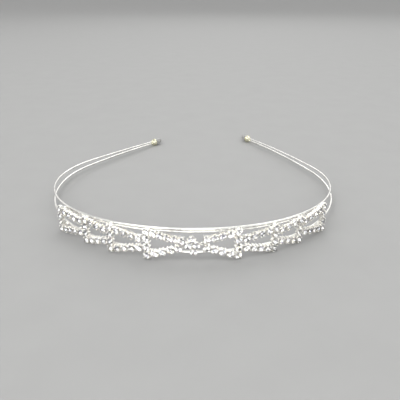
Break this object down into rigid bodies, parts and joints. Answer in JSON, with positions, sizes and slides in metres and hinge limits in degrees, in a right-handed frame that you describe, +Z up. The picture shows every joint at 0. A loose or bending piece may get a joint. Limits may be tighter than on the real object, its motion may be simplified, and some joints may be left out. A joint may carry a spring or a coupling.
{
  "type": "rhinestone headband",
  "caption": "Open springy headband of paired silver wires that meet in round end collars, with hollow triangles of clear claw-set stones round a small diamond along its outer front.",
  "frame": {"origin": "middle of the bounding box's bottom face, on the surface that the band lies on", "axes": "the band lies on its side: +Z up across the band's width, -Y to the front with the stones, +Y to the open ends, +X to the viewer's right seen from the front"},
  "size_m": [0.134, 0.156, 0.0126],
  "materials": {
    "wire_silver": "bright white-silver plate on drawn wire, with fine drawing marks along it",
    "collar_silver": "polished white-silver plate",
    "claw_silver": "bright cast cups and claws, slightly pebbled, with solder",
    "crystal": "clear cut glass with a foil back",
    "clear_tip": "translucent grey, smooth"
  },
  "bodies": {
    "root": {"lower_wire": "wire_silver", "upper_wire": "wire_silver", "support_wire": "wire_silver", "left_collar": "collar_silver", "right_collar": "collar_silver", "left_tip": "clear_tip", "right_tip": "clear_tip", "centre_setting": "claw_silver", "centre_stones": "crystal", "left_setting_1": "claw_silver", "left_setting_2": "claw_silver", "left_setting_3": "claw_silver", "left_setting_4": "claw_silver", "right_setting_1": "claw_silver", "right_setting_2": "claw_silver", "right_setting_3": "claw_silver", "right_setting_4": "claw_silver", "left_stones_1": "crystal", "left_stones_2": "crystal", "left_stones_3": "crystal", "left_stones_4": "crystal", "right_stones_1": "crystal", "right_stones_2": "crystal", "right_stones_3": "crystal", "right_stones_4": "crystal"}
  },
  "joints": []
}
